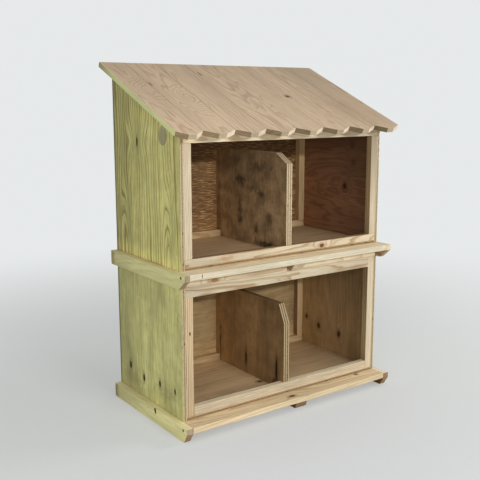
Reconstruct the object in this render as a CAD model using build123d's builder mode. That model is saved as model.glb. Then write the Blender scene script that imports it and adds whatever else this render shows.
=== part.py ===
"""A wooden nesting box for hens: two stacked units of two open nests, the upper one roofed.

Each unit is a plywood box with a pine front frame, standing on a skid base of three runners and a
board deck. The origin is on the ground under the middle of the whole object, +Z is up, +X is to
the right and +Y to the back as a person faces the nests. The roof reaches further on the left than
on the right, so pieces are drawn about the middle of the box and moved over when they are written.
All sizes are in millimetres.
"""

from build123d import *
import os
from math import cos, radians, sin, tan

# Boxes
box_width = 648.0
box_depth = 340.0
lower_box_height = 341.5
upper_front_height = 338.0
panel_thickness = 9.5
floor_thickness = 8.0

# Skid bases
runner_height = 38.0
lower_runner_thickness = 19.0
upper_runner_thickness = 15.0
upper_base_offset = -4.0
centre_runner_width = 38.0
deck_thickness = 15.0
deck_board_count = 3
deck_board_gap = 0.8
ledge_depth = 45.0
lower_runner_clip = 14.0
upper_runner_clip = 27.0
centre_runner_setback = 12.0
lower_centre_runner_clip = 8.0
upper_centre_runner_clip = 18.0
lower_centre_runner_offset = 29.0
upper_centre_runner_offset = 17.0

# Front frames, battens and rails
strip_depth = 19.0
stile_width = 21.5
batten_height = 19.0
lower_bottom_rail_height = 23.5
lower_top_rail_height = 29.0
upper_bottom_rail_height = 19.0
upper_top_rail_height = 35.0
roof_back_rail_height = 35.0

# Dividers
divider_thickness = 18.0
divider_setback = 2.0
lower_divider_height = 237.0
lower_divider_clip_depth = 24.0
lower_divider_clip_height = 50.0
upper_divider_height = 258.0
upper_divider_clip_depth = 46.0
upper_divider_clip_height = 26.0
upper_divider_offset = 4.0
divider_notch_clearance = 3.0

# Roof
roof_pitch = 23.3
roof_left_overhang = 36.0
roof_right_overhang = 25.0
roof_back_overhang = 3.0
roof_front_overhang = 60.0
roof_board_thickness = 13.0
roof_board_gap = 0.8
roof_board_count = 8
roof_ripped_board_share = 0.8
roof_board_nose = 22.0
roof_board_clip = 18.0

# Fasteners
nail_length = 40.0
nail_diameter = 1.8
nail_head_diameter = 2.8
nail_head_depth = 1.5
nail_inset = 5.0
nail_fit = 0.05
screw_length = 45.0
screw_diameter = 4.0
screw_head_diameter = 6.6
screw_head_depth = 2.6
screw_recess = 1.6
screw_inset = 17.0
screw_fit = 0.1

# Places that follow from the sizes
slope = tan(radians(roof_pitch))
roof_reach_front = roof_front_overhang * cos(radians(roof_pitch)) + roof_board_thickness * sin(
    radians(roof_pitch)
)
roof_reach_back = box_depth + roof_back_overhang
front = (roof_reach_front - roof_reach_back) / 2
back = front + box_depth
back_panel_face = back - panel_thickness
frame_back = front + strip_depth
batten_front = back_panel_face - strip_depth
ledge_front = front - ledge_depth
box_middle = (roof_left_overhang - roof_right_overhang) / 2
half_box = box_width / 2
half_inside = half_box - panel_thickness
half_opening = half_inside - stile_width
lower_box_base = runner_height
lower_box_top = lower_box_base + lower_box_height
upper_box_base = lower_box_top + runner_height
roof_seat = upper_box_base + upper_front_height
screw_seat = screw_recess + screw_head_depth

os.makedirs("parts", exist_ok=True)


def keep(piece, name):
    """Move a finished piece to its place under the roof, label it and write it under its name."""
    placed = Pos(box_middle, 0, 0) * piece.part
    placed.label = name
    export_step(placed, f"parts/{name}.step")


def roof_underside(y):
    """Height of the underside of the roof boards at a place from front to back."""
    return roof_seat + (y - front) * slope


def block(name, low, high):
    """A square-sawn piece between two corners."""
    with BuildPart() as piece:
        with BuildSketch(Plane.XY.offset(low[2])):
            with Locations(((low[0] + high[0]) / 2, (low[1] + high[1]) / 2)):
                Rectangle(high[0] - low[0], high[1] - low[1])
        extrude(amount=high[2] - low[2])
    keep(piece, name)


def side_profile(name, x_low, x_high, outline):
    """A piece cut to an outline seen from the side, given as (y, z) points."""
    with BuildPart() as piece:
        with BuildSketch(Plane.YZ.offset(x_low)):
            with BuildLine():
                Polyline(*outline, close=True)
            make_face()
        extrude(amount=x_high - x_low)
    keep(piece, name)


def outward(side, x, y, z):
    """A plane on the outer face of a side runner, facing away from the box."""
    return Plane(origin=(x, y, z), x_dir=(0, 1, 0), z_dir=(side, 0, 0))


def nail_holes(places):
    """Holes for finish nails, each with a seat for its head at the surface."""
    with Locations(*places):
        CounterBoreHole(
            radius=nail_diameter / 2 + nail_fit,
            counter_bore_radius=nail_head_diameter / 2 + nail_fit,
            counter_bore_depth=nail_head_depth,
            depth=nail_length,
        )


def nails(name, places):
    """Finish nails driven flush, as one group."""
    with BuildPart() as group:
        with Locations(*places):
            Cylinder(nail_head_diameter / 2, nail_head_depth, align=(Align.CENTER, Align.CENTER, Align.MAX))
            Cylinder(nail_diameter / 2, nail_length, align=(Align.CENTER, Align.CENTER, Align.MAX))
    keep(group, name)


# Deck boards lie side by side between the runners, from the ledge to the back
deck_depth = back - ledge_front
deck_board_width = (deck_depth - deck_board_gap * (deck_board_count - 1)) / deck_board_count
deck_board_starts = [
    ledge_front + number * (deck_board_width + deck_board_gap) for number in range(deck_board_count)
]


def skid_base(unit, base, offset, thickness, clip, centre_clip, centre_offset):
    """Three runners with clipped front ends, the deck between them, and their fasteners."""
    deck_ends = {side: offset + side * half_box for side in (-1, 1)}
    outer_faces = {side: deck_ends[side] + side * thickness for side in (-1, 1)}
    top = base + runner_height
    deck_under = top - deck_thickness
    deck_middle = top - deck_thickness / 2
    centre_front = ledge_front + centre_runner_setback
    screw_y = ledge_front + screw_inset
    nail_ys = [start + deck_board_width / 2 for start in deck_board_starts[1:]]
    screw_places = {side: outward(side, x, screw_y, deck_middle) for side, x in outer_faces.items()}
    nail_places = {side: [outward(side, x, y, deck_middle) for y in nail_ys] for side, x in outer_faces.items()}

    for side, word in ((-1, "left"), (1, "right")):
        with BuildPart() as runner:
            with BuildSketch(Plane.YZ.offset(deck_ends[side])):
                with BuildLine():
                    Polyline(
                        (ledge_front, top),
                        (back, top),
                        (back, base),
                        (ledge_front + clip, base),
                        (ledge_front, deck_under),
                        close=True,
                    )
                make_face()
            extrude(amount=side * thickness)
            with Locations(screw_places[side]):
                CounterBoreHole(
                    radius=screw_diameter / 2 + screw_fit,
                    counter_bore_radius=screw_head_diameter / 2 + screw_fit,
                    counter_bore_depth=screw_seat,
                    depth=screw_length + screw_recess,
                )
            nail_holes(nail_places[side])
        keep(runner, f"{unit}_runner_{word}")

    side_profile(
        f"{unit}_runner_centre",
        centre_offset - centre_runner_width / 2,
        centre_offset + centre_runner_width / 2,
        [(centre_front, deck_under), (back, deck_under), (back, base), (centre_front + centre_clip, base)],
    )

    for number, start in enumerate(deck_board_starts):
        with BuildPart() as board:
            with BuildSketch(Plane.XY.offset(deck_under)):
                with Locations((offset, start + deck_board_width / 2)):
                    Rectangle(box_width, deck_board_width)
            extrude(amount=deck_thickness)
            if number == 0:
                with Locations(*screw_places.values()):
                    Hole(screw_diameter / 2 + screw_fit, depth=screw_length + screw_recess)
            else:
                with Locations(nail_places[-1][number - 1], nail_places[1][number - 1]):
                    Hole(nail_diameter / 2 + nail_fit, depth=nail_length)
        keep(board, f"{unit}_deck_board_{number + 1}")

    with BuildPart() as screws:
        with Locations(*[place.offset(-screw_recess) for place in screw_places.values()]):
            Cylinder(
                screw_head_diameter / 2,
                screw_head_depth,
                align=(Align.CENTER, Align.CENTER, Align.MAX),
            )
            Cylinder(screw_diameter / 2, screw_length, align=(Align.CENTER, Align.CENTER, Align.MAX))
    keep(screws, f"{unit}_runner_screws")

    nails(f"{unit}_runner_nails", nail_places[-1] + nail_places[1])


def deck_blocking(name, base, offset, centre_offset, y_low):
    """Two strips under the deck, one each side of the centre runner."""
    under = base + runner_height - deck_thickness
    left_end = centre_offset - centre_runner_width / 2
    right_end = centre_offset + centre_runner_width / 2
    with BuildPart() as blocking:
        with BuildSketch(Plane.XY.offset(base)):
            for low, high in ((offset - half_box, left_end), (right_end, offset + half_box)):
                with Locations(((low + high) / 2, y_low + strip_depth / 2)):
                    Rectangle(high - low, strip_depth)
        extrude(amount=under - base)
    keep(blocking, name)


def divider(unit, offset, floor_top, rail_top, height, clip_depth, clip_height):
    """The wall between two nests: notched over the bottom rail and round the back batten."""
    edge = front + divider_setback
    top = floor_top + height
    notch_front = batten_front - divider_notch_clearance
    notch_top = floor_top + batten_height + divider_notch_clearance
    side_profile(
        f"{unit}_divider",
        offset - divider_thickness / 2,
        offset + divider_thickness / 2,
        [
            (frame_back, floor_top),
            (notch_front, floor_top),
            (notch_front, notch_top),
            (back_panel_face, notch_top),
            (back_panel_face, top),
            (edge + clip_depth, top),
            (edge, top - clip_height),
            (edge, rail_top),
            (frame_back, rail_top),
        ],
    )


def floor_and_back_battens(unit, box_base, corner_top):
    """The ply floor, the batten along the foot of the back, and the battens up its corners."""
    floor_top = box_base + floor_thickness
    batten_top = floor_top + batten_height
    block(
        f"{unit}_floor",
        (-half_inside, front, box_base),
        (half_inside, back_panel_face, floor_top),
    )
    block(
        f"{unit}_back_batten",
        (-half_inside, batten_front, floor_top),
        (half_inside, back_panel_face, batten_top),
    )
    for side, word in ((-1, "left"), (1, "right")):
        near, far = sorted((side * half_opening, side * half_inside))
        block(
            f"{unit}_corner_batten_{word}",
            (near, batten_front, batten_top),
            (far, back_panel_face, corner_top),
        )


# Lower unit
skid_base(
    "lower",
    0.0,
    0.0,
    lower_runner_thickness,
    lower_runner_clip,
    lower_centre_runner_clip,
    lower_centre_runner_offset,
)

lower_floor_top = lower_box_base + floor_thickness
lower_opening_base = lower_floor_top + lower_bottom_rail_height
lower_opening_top = lower_box_top - lower_top_rail_height
floor_and_back_battens("lower", lower_box_base, lower_opening_top)

block("lower_side_left", (-half_box, front, lower_box_base), (-half_inside, back, lower_box_top))
block("lower_side_right", (half_inside, front, lower_box_base), (half_box, back, lower_box_top))
block("lower_back", (-half_inside, back_panel_face, lower_box_base), (half_inside, back, lower_box_top))
block(
    "lower_back_top_batten",
    (-half_inside, batten_front, lower_opening_top),
    (half_inside, back_panel_face, lower_box_top),
)

# The top rail laps over the left stile and stops against the right one, which runs full height
block(
    "lower_stile_left",
    (-half_inside, front, lower_floor_top),
    (-half_opening, frame_back, lower_opening_top),
)
block("lower_stile_right", (half_opening, front, lower_floor_top), (half_inside, frame_back, lower_box_top))
block("lower_top_rail", (-half_inside, front, lower_opening_top), (half_opening, frame_back, lower_box_top))
block(
    "lower_bottom_rail",
    (-half_opening, front, lower_floor_top),
    (half_opening, frame_back, lower_opening_base),
)
divider(
    "lower",
    0.0,
    lower_floor_top,
    lower_opening_base,
    lower_divider_height,
    lower_divider_clip_depth,
    lower_divider_clip_height,
)

# Upper unit, whose base is of thinner runners and sits a little to the left of its box
skid_base(
    "upper",
    lower_box_top,
    upper_base_offset,
    upper_runner_thickness,
    upper_runner_clip,
    upper_centre_runner_clip,
    upper_centre_runner_offset,
)
for place, blocking_front in (("front", front), ("back", back - strip_depth)):
    deck_blocking(
        f"upper_{place}_blocking",
        lower_box_top,
        upper_base_offset,
        upper_centre_runner_offset,
        blocking_front,
    )

upper_floor_top = upper_box_base + floor_thickness
upper_opening_base = upper_floor_top + upper_bottom_rail_height
upper_opening_top = roof_seat - upper_top_rail_height
roof_back_rail_base = roof_underside(batten_front) - roof_back_rail_height
floor_and_back_battens("upper", upper_box_base, roof_back_rail_base)

side_outline = [
    (front, upper_box_base),
    (back, upper_box_base),
    (back, roof_underside(back)),
    (front, roof_underside(front)),
]
side_profile("upper_side_left", -half_box, -half_inside, side_outline)
side_profile("upper_side_right", half_inside, half_box, side_outline)
side_profile(
    "upper_back",
    -half_inside,
    half_inside,
    [
        (back_panel_face, upper_box_base),
        (back, upper_box_base),
        (back, roof_underside(back)),
        (back_panel_face, roof_underside(back_panel_face)),
    ],
)

# The stiles stand on the bottom rail and carry the top rail
block(
    "upper_bottom_rail",
    (-half_inside, front, upper_floor_top),
    (half_inside, frame_back, upper_opening_base),
)
block(
    "upper_stile_left",
    (-half_inside, front, upper_opening_base),
    (-half_opening, frame_back, upper_opening_top),
)
block(
    "upper_stile_right",
    (half_opening, front, upper_opening_base),
    (half_inside, frame_back, upper_opening_top),
)
divider(
    "upper",
    upper_divider_offset,
    upper_floor_top,
    upper_opening_base,
    upper_divider_height,
    upper_divider_clip_depth,
    upper_divider_clip_height,
)

# Roof boards lie on a plane that rises to the back from the top of the front rail
roof_plane = Plane(
    origin=(0, front, roof_seat),
    x_dir=(1, 0, 0),
    z_dir=(0, -sin(radians(roof_pitch)), cos(radians(roof_pitch))),
)
roof_top_plane = roof_plane.offset(roof_board_thickness)
roof_left = -half_box - roof_left_overhang
roof_right = half_box + roof_right_overhang
roof_board_end = (box_depth + roof_back_overhang) / cos(radians(roof_pitch))
roof_gaps = roof_board_gap * (roof_board_count - 1)
roof_boards_across = roof_board_count - 1 + roof_ripped_board_share
roof_board_width = (roof_right - roof_left - roof_gaps) / roof_boards_across
roof_board_pitch = roof_board_width + roof_board_gap
front_nail_row = nail_inset / cos(radians(roof_pitch))
back_nail_row = (batten_front + nail_inset - front) / cos(radians(roof_pitch))

# Full boards are laid from the right, and the one that is left over is ripped to fit
roof_board_spans = []
right_edge = roof_right
for number in range(roof_board_count - 1):
    roof_board_spans.append((right_edge - roof_board_width, right_edge))
    right_edge -= roof_board_pitch
roof_board_spans.append((roof_left, right_edge))
roof_board_spans.reverse()

roof_nail_rows = {"front": [], "back": []}
for number, (left, right) in enumerate(roof_board_spans):
    middle = (left + right) / 2
    shoulder = -roof_front_overhang + roof_board_clip
    nailed_left = max(left, -half_inside)
    nailed_right = min(right, half_inside)
    nailed_quarter = (nailed_right - nailed_left) / 4
    nail_xs = [nailed_left + nailed_quarter, nailed_right - nailed_quarter]
    board_nails = []
    for row, along in (("front", front_nail_row), ("back", back_nail_row)):
        places = [
            Plane(
                origin=roof_top_plane.from_local_coords(Vector(x, along, 0)),
                x_dir=roof_top_plane.x_dir,
                z_dir=roof_top_plane.z_dir,
            )
            for x in nail_xs
        ]
        roof_nail_rows[row] += places
        board_nails += places
    with BuildPart() as roof_board:
        with BuildSketch(roof_plane):
            with BuildLine():
                Polyline(
                    (left, roof_board_end),
                    (left, shoulder),
                    (middle - roof_board_nose / 2, -roof_front_overhang),
                    (middle + roof_board_nose / 2, -roof_front_overhang),
                    (right, shoulder),
                    (right, roof_board_end),
                    close=True,
                )
            make_face()
        extrude(amount=roof_board_thickness)
        nail_holes(board_nails)
    keep(roof_board, f"roof_board_{number + 1}")

nails("roof_nails", roof_nail_rows["front"] + roof_nail_rows["back"])

for name, row, y_low, rail_base in (
    ("upper_top_rail", "front", front, upper_opening_top),
    ("upper_roof_back_rail", "back", batten_front, roof_back_rail_base),
):
    y_high = y_low + strip_depth
    with BuildPart() as roof_rail:
        with BuildSketch(Plane.YZ.offset(-half_inside)):
            with BuildLine():
                Polyline(
                    (y_low, rail_base),
                    (y_high, rail_base),
                    (y_high, roof_underside(y_high)),
                    (y_low, roof_underside(y_low)),
                    close=True,
                )
            make_face()
        extrude(amount=2 * half_inside)
        with Locations(*roof_nail_rows[row]):
            Hole(nail_diameter / 2 + nail_fit, depth=nail_length)
    keep(roof_rail, name)
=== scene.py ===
"""A wooden nesting box for hens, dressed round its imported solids, with its view and its light."""

import math
import random

import bpy
from mathutils import Euler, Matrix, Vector, noise


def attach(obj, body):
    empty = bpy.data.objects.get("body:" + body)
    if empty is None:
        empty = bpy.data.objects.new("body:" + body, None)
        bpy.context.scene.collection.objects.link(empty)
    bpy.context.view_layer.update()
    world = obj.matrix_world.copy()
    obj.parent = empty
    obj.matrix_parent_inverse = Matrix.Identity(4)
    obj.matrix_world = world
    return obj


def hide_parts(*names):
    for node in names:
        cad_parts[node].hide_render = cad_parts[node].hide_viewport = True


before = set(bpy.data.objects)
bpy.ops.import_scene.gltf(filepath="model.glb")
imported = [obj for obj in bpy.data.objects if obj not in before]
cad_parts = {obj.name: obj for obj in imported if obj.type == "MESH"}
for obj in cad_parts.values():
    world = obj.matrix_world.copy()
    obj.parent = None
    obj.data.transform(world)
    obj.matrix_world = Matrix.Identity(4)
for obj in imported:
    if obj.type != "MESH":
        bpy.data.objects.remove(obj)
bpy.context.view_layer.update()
bpy.ops.object.select_all(action="DESELECT")


# The view: from the left and in front, at the height of the roof, with a moderately long lens.
# The small shift puts the box where the photograph frames it.
view = bpy.data.cameras.new("view")
view.sensor_width = 36.0
view.lens = 57.31
view.shift_x = -0.0078
view.shift_y = 0.0015
camera = bpy.data.objects.new("camera", view)
camera.location = (-1.227, -1.6674, 0.8248)
camera.rotation_euler = (math.radians(79.382), 0.0, math.radians(-35.541))
bpy.context.collection.objects.link(camera)
bpy.context.scene.camera = camera
bpy.context.scene.view_settings.view_transform = "Standard"


# The floor: a plain pale studio floor, a wide disc that fades into the plain background, so that
# no edge shows behind the box. Near the box it is a matt surface and takes the box's shadow.
background = (0.8, 0.82, 0.82, 1.0)
floor_dark = (0.7, 0.715, 0.715, 1.0)
floor_pale = (0.73, 0.745, 0.745, 1.0)
floor_radius = 30.0
speckles_per_metre = 60.0
fade_start = 0.5
fade_end = 2.4
fade_least = 0.35


def add(tree, kind, *values, **settings):
    """A shader node with its settings made and its inputs fed, in their order."""
    made = tree.nodes.new(kind)
    for name, value in settings.items():
        setattr(made, name, value)
    for socket, value in zip(made.inputs, values):
        feed(tree, socket, value)
    return made


def feed(tree, socket, value):
    """Link a node's output to a socket, or set the socket to a plain value."""
    if isinstance(value, bpy.types.NodeSocket):
        tree.links.new(value, socket)
    elif value is not None:
        socket.default_value = value


def figure(tree, operation, *values):
    """A sum on one or two values."""
    return add(tree, "ShaderNodeMath", *values, operation=operation).outputs[0]


def times(tree, first, second):
    """One value times another."""
    return figure(tree, "MULTIPLY", first, second)


def vector(tree, operation, *values):
    """A sum on vectors. A length and a dot product come out as plain values."""
    made = add(tree, "ShaderNodeVectorMath", *values, operation=operation)
    return made.outputs["Value" if operation in ("LENGTH", "DOT_PRODUCT") else "Vector"]


def ramp(tree, value, start, end, low, high):
    """A value eased from low to high as another goes from start to end."""
    made = add(tree, "ShaderNodeMapRange", value, start, end, low, high)
    made.interpolation_type = "SMOOTHSTEP"
    return made.outputs[0]


def cloudy(tree, place, *settings):
    """Cloudy noise at a place: clouds per metre, how fine they get and, if given, how rough."""
    return add(tree, "ShaderNodeTexNoise", place, None, *settings).outputs[0]


def colour_mix(tree, share, first, second):
    """Two colours mixed by a share."""
    made = add(tree, "ShaderNodeMix", data_type="RGBA")
    for socket, value in ((made.inputs[0], share), (made.inputs[6], first), (made.inputs[7], second)):
        feed(tree, socket, value)
    return made.outputs[2]


def new_material(name, gloss):
    """A node material; hands it back with its tree, its shader and the place on the piece."""
    material = bpy.data.materials.new(name)
    material.use_nodes = True
    tree = material.node_tree
    shader = tree.nodes["Principled BSDF"]
    shader.inputs["Specular IOR Level"].default_value = gloss
    return material, tree, shader, add(tree, "ShaderNodeTexCoord").outputs["Object"]


def sees_background(tree):
    """Whether a ray comes from the camera, a reflection or glass, which all show the plain background."""
    path = add(tree, "ShaderNodeLightPath").outputs
    seen = figure(tree, "MAXIMUM", path["Is Camera Ray"], path["Is Glossy Ray"])
    return figure(tree, "MAXIMUM", seen, path["Is Transmission Ray"])


bpy.ops.mesh.primitive_circle_add(vertices=96, radius=floor_radius, fill_type="NGON")
floor = bpy.context.active_object
floor.name = "studio_floor"
floor_paint, tree, matt, place = new_material("studio_floor", 0.1)
matt.inputs["Roughness"].default_value = 0.9
speckle = cloudy(tree, place, speckles_per_metre, 3.0)
tree.links.new(colour_mix(tree, speckle, floor_dark, floor_pale), matt.inputs["Base Color"])
away = ramp(tree, vector(tree, "LENGTH", place), fade_start, fade_end, fade_least, 1.0)
plain = add(tree, "ShaderNodeEmission", background, 1.0).outputs[0]
faded = times(tree, away, sees_background(tree))
blend = add(tree, "ShaderNodeMixShader", faded, matt.outputs[0], plain).outputs[0]
tree.links.new(blend, tree.nodes["Material Output"].inputs["Surface"])
floor.data.materials.append(floor_paint)


# The light: a plain soft room, pale all round, with a lamp in front at a low angle, which reaches
# into the nests under the top rails, a broad soft one on the right and a weaker one on the left.
room_strength = 0.4
lamps_aim = Vector((0.0, 0.0, 0.5))
room = bpy.data.worlds.new("room")
room.use_nodes = True
bpy.context.scene.world = room
tree = room.node_tree
around = tree.nodes["Background"]
around.inputs["Color"].default_value = (1.0, 1.0, 1.0, 1.0)
around.inputs["Strength"].default_value = room_strength
shown = add(tree, "ShaderNodeBackground", background, 1.0).outputs[0]
mixed = add(tree, "ShaderNodeMixShader", sees_background(tree), around.outputs[0], shown).outputs[0]
tree.links.new(mixed, tree.nodes["World Output"].inputs["Surface"])


def lamp(name, place, width, height, watts):
    """A rectangular soft lamp at a place, turned to the middle of the box."""
    data = bpy.data.lights.new(name, "AREA")
    data.shape = "RECTANGLE"
    data.size = width
    data.size_y = height
    data.energy = watts
    made = bpy.data.objects.new(name, data)
    made.location = place
    made.rotation_euler = (lamps_aim - Vector(place)).to_track_quat("-Z", "Y").to_euler()
    bpy.context.collection.objects.link(made)


lamp("front_lamp", (0.1, -3.1, 1.42), 0.9, 0.08, 41.0)
lamp("right_lamp", (2.6, -0.9, 1.5), 1.2, 0.7, 26.0)
lamp("left_lamp", (-2.2, -2.0, 1.1), 1.4, 0.8, 18.0)


# The runners: the three skids under each unit, sawn from green-tinted treated pine. The side ones
# are screwed and nailed on edge to the ends of the deck, with the front ends clipped to a slope.
left, right = Vector((-1, 0, 0)), Vector((1, 0, 0))
front, back = Vector((0, -1, 0)), Vector((0, 1, 0))
down, up = Vector((0, 0, -1)), Vector((0, 0, 1))
runner_ease = 0.0011
wander_seed = 5
log_length = 9.0


def take_up(*pieces):
    """Select some pieces alone, with the first one active."""
    bpy.ops.object.select_all(action="DESELECT")
    for piece in pieces:
        piece.select_set(True)
    bpy.context.view_layer.objects.active = pieces[0]


def solid_copy(node, kind):
    """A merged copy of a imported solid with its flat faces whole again, ready for shaping."""
    merged_within = 0.00001
    flat_within = math.radians(0.5)
    piece = bpy.data.objects.new(f"{node}_{kind}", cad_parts[node].data.copy())
    bpy.context.collection.objects.link(piece)
    take_up(piece)
    piece.data.materials.clear()
    bpy.ops.mesh.customdata_custom_splitnormals_clear()
    bpy.ops.object.mode_set(mode="EDIT")
    bpy.ops.mesh.select_all(action="SELECT")
    bpy.ops.mesh.remove_doubles(threshold=merged_within)
    bpy.ops.mesh.dissolve_limited(angle_limit=flat_within)
    bpy.ops.object.mode_set(mode="OBJECT")
    return piece


def span(piece, direction):
    """The lowest and highest place of a piece along a direction."""
    places = [corner.co.dot(direction) for corner in piece.data.vertices]
    return min(places), max(places)


def ends_of(node, direction):
    """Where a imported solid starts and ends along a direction, to a tenth of a millimetre."""
    return [round(place, 4) for place in span(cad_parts[node], direction)]


def cut_across(piece, along, step):
    """Cross cuts along a piece, so that it can bow and wander a little."""
    low, high = span(piece, along)
    count = max(2, round((high - low) / step))
    bpy.ops.object.mode_set(mode="EDIT")
    for number in range(1, count):
        bpy.ops.mesh.select_all(action="SELECT")
        bpy.ops.mesh.bisect(plane_co=along * (low + (high - low) * number / count), plane_no=along)
    bpy.ops.object.mode_set(mode="OBJECT")


def ease_edges(piece, width):
    """Take the sharpness off the long edges, as sandpaper does, and leave the small holes."""
    shortest = 0.004
    sharp_from = math.radians(20)
    mesh = piece.data
    sides = {}
    for face in mesh.polygons:
        for key in face.edge_keys:
            sides.setdefault(key, []).append(face.normal)
    weights = mesh.attributes.new("bevel_weight_edge", "FLOAT", "EDGE")
    for edge in mesh.edges:
        start, end = (mesh.vertices[corner].co for corner in edge.vertices)
        normals = sides.get(tuple(sorted(edge.vertices)), [])
        sharp = len(normals) == 2 and normals[0].angle(normals[1]) > sharp_from
        weights.data[edge.index].value = 1.0 if sharp and (end - start).length > shortest else 0.0
    eased = piece.modifiers.new("eased_edges", "BEVEL")
    eased.limit_method = "WEIGHT"
    eased.width = width
    eased.segments = 2
    bpy.ops.object.modifier_apply(modifier=eased.name)


def wander(piece, seed, amount, length):
    """Let the sawn faces wander a little inside their box, as drying wood does, the same each time."""
    noise.seed_set(wander_seed)
    start = Vector((seed, seed * 0.37, -seed * 0.61))
    limits = [span(piece, axis) for axis in (right, back, up)]
    for corner in piece.data.vertices:
        moved = corner.co + noise.noise_vector(corner.co / length + start) * amount
        corner.co = [min(max(value, low), high) for value, (low, high) in zip(moved, limits)]


def carve(piece, cutter):
    """Cut one shape out of a piece and put the shape away."""
    take_up(piece)
    cut = piece.modifiers.new("carved", "BOOLEAN")
    cut.operation = "DIFFERENCE"
    cut.object = cutter
    bpy.ops.object.modifier_apply(modifier=cut.name)
    bpy.data.objects.remove(cutter)


def hollow(piece, centre, reach, turn=0.0):
    """Cut an open knot or a crack into a piece: an oval hollow, turned about X to follow a slope."""
    bpy.ops.mesh.primitive_uv_sphere_add(
        segments=24, ring_count=12, location=centre, rotation=(turn, 0.0, 0.0)
    )
    cutter = bpy.context.active_object
    cutter.scale = reach
    carve(piece, cutter)


def in_hollow(piece, side, centre, reach, turn=0.0):
    """Whether a face belongs to the wall of such a hollow."""
    rim = 1.08
    level = Euler((turn, 0.0, 0.0)).to_matrix().transposed()
    for corner in side.vertices:
        near = level @ (piece.data.vertices[corner].co - Vector(centre))
        if Vector([part / size for part, size in zip(near, reach)]).length > rim:
            return False
    return True


def looks(side, way, least=0.7):
    """Whether a face looks one way, or nearly."""
    return side.normal.dot(way) > least


def wear(piece, side, skin):
    """Put one of a piece's skins on one of its faces."""
    side.material_index = piece.data.materials.find(skin.name)


def lay_in_log(piece, along, face, heart, tilt, tone):
    """Store each point's place in the log that the piece was cut from, its depth and its paleness."""
    across = face.cross(along)
    middles = [sum(span(piece, way)) / 2 for way in (along, across, face)]
    stored = piece.data.attributes
    stored.new("log", "FLOAT_VECTOR", "POINT")
    stored.new("through", "FLOAT", "POINT")
    stored.new("tone", "FLOAT", "POINT")
    for number, corner in enumerate(piece.data.vertices):
        x, y, z = (corner.co.dot(way) - middle for way, middle in zip((along, across, face), middles))
        stored["log"].data[number].vector = Vector((x, y, z + tilt * x)) + heart
        stored["through"].data[number].value = z
        stored["tone"].data[number].value = tone


def settle(piece, node):
    """The finished piece rides on its unit and stands for its solid."""
    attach(piece, "lower_unit" if node.startswith("lower") else "upper_unit")
    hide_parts(node)


def board(node, skins, along, face, off, depth, tone=1.0, ease=0.0009, hollows=()):
    """A sawn board: a copy of its solid, eased, hollowed, wandered and laid in its log.

    Its first skin goes on the long faces, the second on the ends and the third in the hollows.
    """
    cut_step = 0.05
    bow = 0.00035
    bow_length = 0.12
    most_tilt = 0.05
    end_slant = 0.45
    draw = random.Random(node)
    piece = solid_copy(node, "timber")
    cut_across(piece, along, cut_step)
    ease_edges(piece, ease)
    for shape in hollows:
        hollow(piece, *shape)
    heart = Vector((draw.uniform(-log_length, log_length), off, depth))
    lay_in_log(piece, along, face, heart, draw.uniform(-most_tilt, most_tilt), tone)
    for skin in skins:
        piece.data.materials.append(skin)
    for side in piece.data.polygons:
        side.material_index = 1 if abs(side.normal.dot(along)) > end_slant else 0
        if any(in_hollow(piece, side, *shape) for shape in hollows):
            side.material_index = 2
        side.use_smooth = False
    wander(piece, draw.uniform(0, 50), bow, bow_length)
    settle(piece, node)
    return piece


def new_group(name, takes, gives):
    """A shader node group with its sockets; hands back its tree, its inputs and its outputs."""
    group = bpy.data.node_groups.new(name, "ShaderNodeTree")
    for label, kind in takes:
        group.interface.new_socket(name=label, in_out="INPUT", socket_type=f"NodeSocket{kind}")
    for label, kind in gives:
        group.interface.new_socket(name=label, in_out="OUTPUT", socket_type=f"NodeSocket{kind}")
    return group, group.nodes.new("NodeGroupInput").outputs, group.nodes.new("NodeGroupOutput").inputs


def plus(tree, first, second):
    """One value and another."""
    return figure(tree, "ADD", first, second)


def scaled(tree, colour, value):
    """A vector or a colour times a value."""
    return vector(tree, "SCALE", colour, None, None, value)


def stretched(tree, place, per_metre, detail, shift=0.0):
    """Noise that is drawn out along the grain."""
    drawn = vector(tree, "MULTIPLY", place, per_metre)
    return cloudy(tree, vector(tree, "ADD", drawn, (shift, shift, shift)), 1.0, detail)


# Growth rings round the heart of the log, with their wander, the fibres and broad paler patches
slow_bends = (2.4, 11.0, 11.0)
quick_bends = (9.0, 60.0, 60.0)
fibres = (16.0, 420.0, 420.0)
broad_patches = (3.4, 20.0, 20.0)
late_from = 0.42
late_peak = 0.9
grain, takes, gives = new_group(
    "sawn_grain",
    [("Log", "Vector"), ("Lift", "Float"), ("Ring", "Float"), ("Wander", "Float")],
    [("Late", "Float"), ("Fibre", "Float"), ("Broad", "Float")],
)
parts = add(grain, "ShaderNodeSeparateXYZ", takes["Log"]).outputs
radius = vector(grain, "LENGTH", add(grain, "ShaderNodeCombineXYZ", 0.0, parts[1], parts[2]).outputs[0])
slow = plus(grain, stretched(grain, takes["Log"], slow_bends, 2.0), -0.5)
quick = plus(grain, stretched(grain, takes["Log"], quick_bends, 2.0, 3.1), -0.5)
bends = plus(grain, times(grain, slow, 2.0), times(grain, quick, 0.3))
reach = plus(grain, plus(grain, radius, times(grain, bends, takes["Wander"])), takes["Lift"])
turns = figure(grain, "DIVIDE", reach, takes["Ring"])
uneven = add(grain, "ShaderNodeTexNoise", noise_dimensions="1D")
feed(grain, uneven.inputs["W"], times(grain, turns, 0.41))
phase = figure(grain, "FRACT", plus(grain, turns, times(grain, uneven.outputs[0], 0.9)))
rise = ramp(grain, phase, late_from, late_peak, 0.0, 1.0)
fall = ramp(grain, phase, late_peak, 1.0, 1.0, 0.0)
feed(grain, gives["Late"], times(grain, rise, fall))
feed(grain, gives["Fibre"], stretched(grain, takes["Log"], fibres, 3.0, 1.7))
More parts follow.
